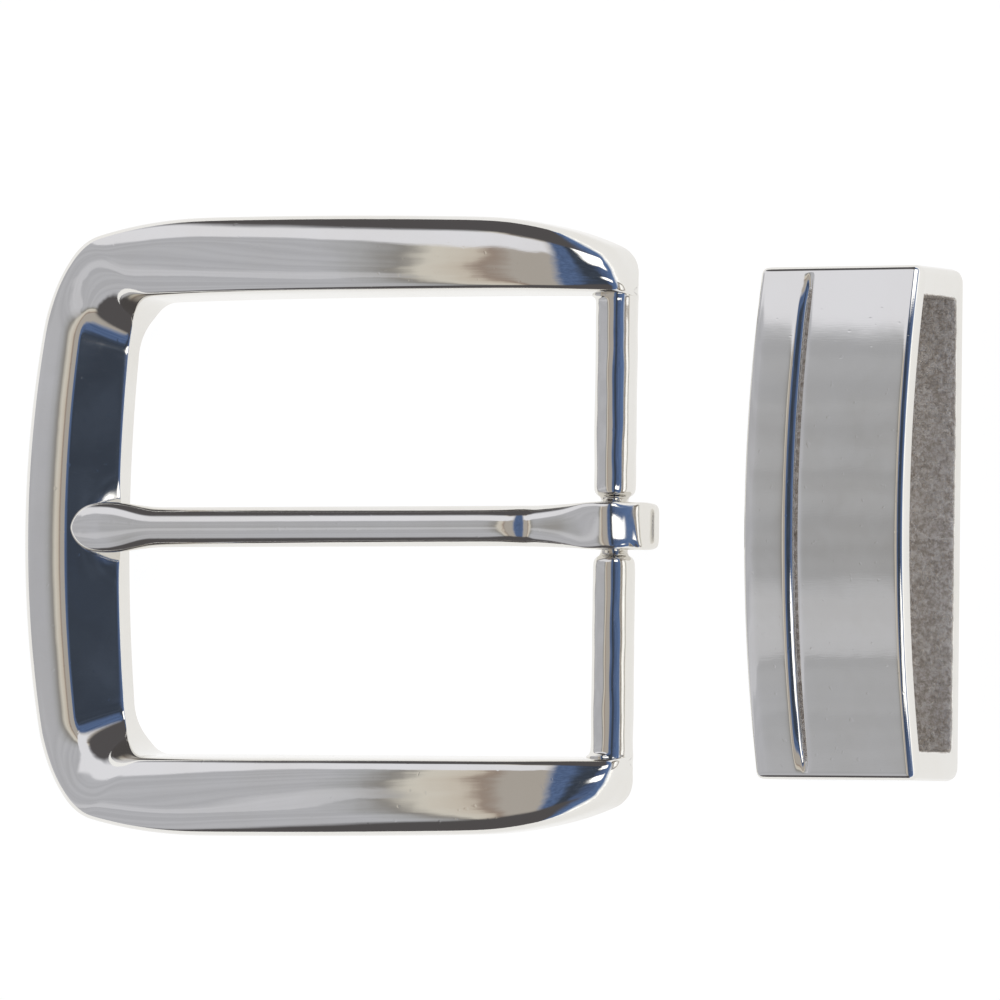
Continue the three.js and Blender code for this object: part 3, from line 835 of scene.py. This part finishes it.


# %% [markdown]
# Towards the heel the rod's top is filed to a flat facet that widens into the tail. The tail rises in
# a bump over the neck and falls away in a steep far face with round corners. We keep lofting, with
# the tail's side view as a few listed points: distance past the bar's axis, top, and underside.
# The top over the neck is slightly arched and leans a little to one side, as a hand-filed face does.

# %% Prong tail, upper part
FACET_END = -1
TAIL_WIDTH = 4.25
TAIL_SQUARENESS = 0.42
TAIL_FLOOR = prong_low.z / MM + 0.02
OVER_NECK = 3.35
TAIL_SIDE = (
    (-7.6, 4.72, 1.72), (-6.6, 4.71, 1.78), (-5.6, 4.69, 1.85), (-4.6, 4.66, 1.95), (-3.6, 4.63, 2.2),
    (-2.7, 4.62, 2.7), (-1.9, 4.64, OVER_NECK), (-1.25, 4.74, OVER_NECK), (-0.5, 4.90, OVER_NECK),
    (0.1, 4.94, OVER_NECK), (0.7, 4.83, OVER_NECK), (1.25, 4.55, OVER_NECK - 0.1),
    (1.75, 4.22, 1.2), (2.15, 3.91, TAIL_FLOOR), (2.5, 3.57, TAIL_FLOOR), (2.8, 3.25, TAIL_FLOOR),
    (2.98, 2.92, TAIL_FLOOR), (3.2, 2.34, TAIL_FLOOR), (3.42, 1.84, TAIL_FLOOR + 0.05),
    (3.62, 1.5, TAIL_FLOOR + 0.2), (3.74, 1.32, TAIL_FLOOR + 0.4),
)
FACET_GROWTH = 1.6
TAIL_CROWN = 0.14
TAIL_LEAN = 0.11
CROWN_RISE = (-2.5, 0.3)
CROWN_FALL = (2.5, 3.2)
END_CORNER = 0.9
CORNER_CUT = 1.3


def crown_over(points, width, amount):
    """Bends a ring's top into a slightly leaning arch."""
    middle = sum(point.z for point in points) / len(points)
    for point in points:
        if point.z > middle:
            side = point.y / (width / 2 * MM)
            point.z -= amount * (TAIL_CROWN * (1 + side * side) - TAIL_LEAN * width / 2 * side) * MM
    return points


def tail_rings():
    rings = []
    for along, top, underside in TAIL_SIDE:
        widened = min(1, (along - FACET_START) / (FACET_END - FACET_START)) ** FACET_GROWTH
        rounded = round_off(along - TAIL_SIDE[-1][0] + END_CORNER, END_CORNER)
        width = mix(SHAFT_WIDTH, TAIL_WIDTH, widened) - CORNER_CUT * rounded
        squareness = mix(1, TAIL_SQUARENESS, widened)
        ring = rod_ring(BAR_X + along, top, width, top - underside, squareness)
        crowned = smooth(along, *CROWN_RISE) * (1 - smooth(along, *CROWN_FALL))
        rings.append(crown_over(ring, width, crowned))
    return rings


shaft_mesh = bmesh.new()
loft(shaft_mesh, shaft_rings() + tail_rings(), rim=0.12 * MM)
shaft = finish_piece(shaft_mesh, "prong_shaft", prong_finish, "prong", RENDER_LEVELS)

# %% [markdown]
# Under the neck the tail is bent into a hook and left a little open. We draw the hook's outline from
# the side, with the bore as part of it, fill it, extrude it across the prong, and round its long
# edges with a bevel. Its upper part is hidden inside the lofted tail.

# %% Prong hook
BORE_RADIUS = 1.4
BORE_STEPS = 22
SEAM_HALF = 0.4
JAW_GAP = 0.55
HOOK_WIDTH = 4.1
EDGE_ROUND = 0.5


def hook_outline():
    """The hook from the side, as (distance past the bar's axis, height)."""
    outside = [(-3.6, 3.6), (-2.6, 4.2), (0, 4.4), (1.0, 4.2), (2.2, 3.4), (2.9, 2.4), (3.2, 1.6)]
    outside += [(3.2, 0.9), (3.0, 0.5), (2.6, TAIL_FLOOR), (1.6, TAIL_FLOOR)]
    seam_edge = -BORE_RADIUS / 2 + SEAM_HALF
    start = math.atan2(-BORE_RADIUS, seam_edge)
    bore = []
    for step in range(BORE_STEPS + 1):
        angle = start + (2 * math.pi - JAW_GAP) * step / BORE_STEPS
        bore.append((BORE_RADIUS * math.cos(angle), BAR_RADIUS + BORE_RADIUS * math.sin(angle)))
    front = [(-1.6, TAIL_FLOOR + 0.15), (-2.4, 0.6), (-3.0, 1.3), (-3.45, 2.2), (-3.65, 3.2)]
    return outside + bore + front


def fill_outline(mesh, outline, y):
    corners = [mesh.verts.new(place(BAR_X + along, y, up)) for along, up in outline]
    edges = [mesh.edges.new(pair) for pair in zip(corners, corners[1:] + corners[:1])]
    return bmesh.ops.contextual_create(mesh, geom=corners + edges)["faces"]


hook_mesh = bmesh.new()
side = fill_outline(hook_mesh, hook_outline(), -HOOK_WIDTH / 2)
pulled = bmesh.ops.extrude_face_region(hook_mesh, geom=side, use_keep_orig=True)["geom"]
moved = [item for item in pulled if isinstance(item, bmesh.types.BMVert)]
bmesh.ops.translate(hook_mesh, verts=moved, vec=(0, HOOK_WIDTH * MM, 0))
bmesh.ops.recalc_face_normals(hook_mesh, faces=hook_mesh.faces)

# %% [markdown]
# Only the outer long edges are rounded: the bore's edges stay crisp. Then the hook is narrowed to the
# rod's width where the two meet.

# %% Round and narrow the hook
HOOK_START = -4.2
HOOK_WIDENING = 3.4
HOOK_SLIMNESS = SHAFT_WIDTH / HOOK_WIDTH - 0.04


def is_rim(edge):
    """True for an edge in a side face that isn't on the bore."""
    level = abs(abs(edge.verts[0].co.y) - abs(edge.verts[1].co.y)) < 1e-7
    same_side = edge.verts[0].co.y * edge.verts[1].co.y > 0
    near_bore = (BORE_RADIUS + 0.2) * MM
    spokes = [math.hypot(v.co.x - bar_axis.x, v.co.z - bar_axis.z) for v in edge.verts]
    return level and same_side and min(spokes) > near_bore


bmesh.ops.bevel(
    hook_mesh, geom=[edge for edge in hook_mesh.edges if is_rim(edge)], offset=EDGE_ROUND * MM,
    offset_type="OFFSET", affect="EDGES", segments=4, profile=0.5, material=-1, clamp_overlap=True,
)
flat_sides = [face for face in hook_mesh.faces if abs(face.normal.y) > 0.99 and len(face.verts) > 8]
bmesh.ops.inset_individual(hook_mesh, faces=flat_sides, thickness=0.05 * MM, depth=0)
start_x = bar_axis.x + HOOK_START * MM
for corner in hook_mesh.verts:
    widened = smooth(corner.co.x, start_x, start_x + HOOK_WIDENING * MM)
    corner.co.y *= mix(HOOK_SLIMNESS, 1, widened)
hook = finish_piece(hook_mesh, "prong_hook", prong_finish, "prong", 0)
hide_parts("prong")
print("hook wraps a neck of", 2 * NECK_RADIUS, "mm with a bore of", 2 * BORE_RADIUS, "mm")

# %% [markdown]
# ## The keeper
#
# The keeper is a flat loop with an arched front. Its outline across the strap is a D lying on its
# back. `d_outline` draws that D for any size, always with the same number of points, so that it can
# serve for the outside and for the slot.

# %% Keeper outline
KEEPER_X = (keeper_low.x - frame_low.x) / MM
KEEPER_WIDTH = (keeper_high.x - keeper_low.x) / MM
KEEPER_HALF = keeper_high.y / MM
KEEPER_TOP = keeper_high.z / MM
CROWN = 3.0
END_WALL = 2.6
BACK_WALL = 1.9
SLOT_TOP = KEEPER_TOP - 1.35
SLOT_CROWN = 2.3
GROOVE_ENDS = (KEEPER_HALF - 1.3, KEEPER_HALF - 0.7)
FLAT_SHARES = (0, 0.05, 0.2, 0.35, 0.5, 0.65, 0.8, 0.95, 1)
WALL_SHARES = (0, 0.1, 0.5, 0.9, 1)
ARCH_SHARES = tuple(step / 20 for step in range(21))


def arc(centre_y, centre_z, radius, start, end):
    angles = [math.radians(mix(start, end, share)) for share in (0.25, 0.5, 0.75)]
    return [(centre_y + radius * math.cos(a), centre_z + radius * math.sin(a)) for a in angles]


def d_outline(half, bottom, top, rise, low_corner, high_corner, dip):
    """Points (y, z) round a D; dip lowers its arch, for the groove, but not at its ends."""
    shoulder = half - high_corner
    edge_top = top - rise * (shoulder / half) ** 2
    right = [(half, mix(bottom + low_corner, edge_top - high_corner, s)) for s in WALL_SHARES]
    arch = []
    for share in ARCH_SHARES:
        y = mix(shoulder, -shoulder, share)
        ends = 1 - smooth(abs(y), *GROOVE_ENDS)
        arch.append((y, top - rise * (y / half) ** 2 - dip * ends))
    points = [(mix(low_corner - half, half - low_corner, s), bottom) for s in FLAT_SHARES]
    points += arc(half - low_corner, bottom + low_corner, low_corner, -90, 0)
    points += right
    points += arc(shoulder, edge_top - high_corner, high_corner, 0, 90)
    points += arch
    points += arc(-shoulder, edge_top - high_corner, high_corner, 90, 180)
    points += [(-y, z) for y, z in reversed(right)]
    points += arc(low_corner - half, bottom + low_corner, low_corner, 180, 270)
    return points


print("keeper's outline has", len(d_outline(10, 0, 5, 1, 1, 1, 0)), "points")

# %% [markdown]
# The rings run along the outside from the strap's side to the far side, over the groove on the way,
# then back through the slot, and the last is joined to the first. `raw` says how rough a ring is: the
# groove and the slot are left as cast, because a polishing wheel can't reach them. It is stored on the
# points so that the finish can read it.

# %% Keeper rings
GROOVE_MIDDLE = 5.1
NEAR_ROUND = 0.7
LIP = 0.18
GROOVE_STEPS = (
    (-1.25, 0, 0), (-1.0, 0.012, 0), (-0.86, 0.05, 0), (-0.6, 0.175, 0), (-0.36, 0.295, 0),
    (-0.26, 0.42, 0.2), (-0.16, 0.6, 1), (0.06, 0.66, 1), (0.2, 0.42, 0.9), (0.27, 0.13, 0),
    (0.36, 0.03, 0), (0.5, 0, 0), (0.9, 0, 0),
)
FAR_EDGE = (
    (-1.3, 0), (-0.84, 0), (-0.72, 0.015), (-0.63, 0.05), (-0.46, 0.132), (-0.28, 0.222),
    (-0.1, 0.56), (-0.03, 0.72), (0, 0.92),
)


def outer_ring(x, inset, dip):
    low_corner = max(0.5, 1.2 - inset)
    outline = d_outline(
        KEEPER_HALF - inset, inset, KEEPER_TOP - inset, CROWN, low_corner, max(0.35, 0.7 - inset), dip,
    )
    return [place(KEEPER_X + x, y, z) for y, z in outline]


def slot_ring(x, grow):
    outline = d_outline(
        KEEPER_HALF - END_WALL + grow, BACK_WALL - grow, SLOT_TOP + grow, SLOT_CROWN, 0.6, 0.6, 0,
    )
    return [place(KEEPER_X + x, y, z) for y, z in outline]


def keeper_rings():
    """Each ring with its rawness."""
    rings = []
    for degrees in (0, 30, 60, 90):
        angle = math.radians(degrees)
        inset = NEAR_ROUND * (1 - math.sin(angle))
        rings.append((outer_ring(NEAR_ROUND * (1 - math.cos(angle)), inset, 0), 0))
    rings.append((outer_ring(1.6, 0, 0), 0))
    for x, depth, raw in GROOVE_STEPS:
        rings.append((outer_ring(GROOVE_MIDDLE + x, 0, depth), raw))
    for x in (7.5, 10, 12.4):
        rings.append((outer_ring(x, 0, 0), 0))
    for x, inset in FAR_EDGE:
        rings.append((outer_ring(KEEPER_WIDTH + x, inset, 0), 0))
    rings.append((slot_ring(KEEPER_WIDTH, LIP), 0))
    for x in (KEEPER_WIDTH - LIP, KEEPER_WIDTH - 1.2, 11, 8, 5, 2, 1, LIP):
        rings.append((slot_ring(x, 0), 1))
    rings.append((slot_ring(0, LIP), 0))
    return rings


# %% [markdown]
# After the loft, the points of the raw rings are nudged by smooth noise: cast walls are never flat. The
# keeper's back and its outer ends were on the polishing wheel, so rings that pass over them stay smooth
# there.

# %% Keeper piece
RAW_LUMP = 0.12
RAW_LUMP_LENGTH = 0.9
INNER_HALF = KEEPER_HALF - 0.8

keeper_mesh = bmesh.new()
rawness = keeper_mesh.verts.layers.float.new("rawness")
raw_rings = keeper_rings()
corner_rings = loft(keeper_mesh, [points for points, _ in raw_rings], closed=True)
for corners, (_, raw) in zip(corner_rings, raw_rings):
    for corner in corners:
        inside = abs(corner.co.y) < INNER_HALF * MM and corner.co.z > BACK_WALL * MM / 2
        corner[rawness] = raw if inside else 0
        if raw == 1 and inside:
            lump(corner, RAW_LUMP, RAW_LUMP_LENGTH)
print("keeper has", len(raw_rings), "rings")

# %% [markdown]
# ## The keeper's two finishes
#
# Outside, the keeper has the same bright nickel. In the groove and the slot the plating sits on raw
# casting: brownish, grainy and sparkling. The two are mixed by the rawness that the points carry,
# broken up by noise so that the change isn't a drawn line.

# %% Keeper finish
RAW_BROWN = (0.47, 0.41, 0.345)
RAW_GREY = (0.86, 0.81, 0.74)


def keeper_plating(name):
    material = bpy.data.materials.new(name)
    board = Board(material)
    spot = board.add("ShaderNodeTexCoord", {}, {}, output="Object")
    carried = board.add("ShaderNodeAttribute", {"attribute_name": "rawness"}, {}, output="Fac")
    fine = board.noise(spot, 2400, detail=4, roughness=0.75)
    coarse = board.noise(spot, 800, detail=2)
    raw = (carried + (coarse - 0.5) * 0.5).between(0.35, 0.75)
    haze = board.noise(spot, 70, detail=4, roughness=0.6)
    polished = board.blend(haze.between(0.35, 0.7), NICKEL, NICKEL_WARM)
    cast = board.blend(fine.between(0.35, 0.65), RAW_BROWN, RAW_GREY)
    shiny_rough = 0.03 + haze * 0.04
    cast_rough = 0.16 + coarse * 0.2
    rough = shiny_rough * (1 - raw) + cast_rough * raw
    grit = (fine * 4.5 + coarse * 2.0) * raw
    bump = board.add("ShaderNodeBump", {}, {
        "Height": wavy_height(board, spot, 0.9) + grit, "Strength": 1.0, "Distance": WAVE_DEPTH * MM,
    })
    surface = board.add("ShaderNodeBsdfPrincipled", {}, {
        "Base Color": board.blend(raw, polished, cast), "Metallic": 1.0 - raw * 0.45,
        "Roughness": rough, "Normal": bump,
    })
    board.add("ShaderNodeOutputMaterial", {}, {"Surface": surface})
    return material


keeper_loop = finish_piece(
    keeper_mesh, "keeper_loop", keeper_plating("nickel_on_keeper"), "keeper", RENDER_LEVELS,
)
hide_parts("keeper")
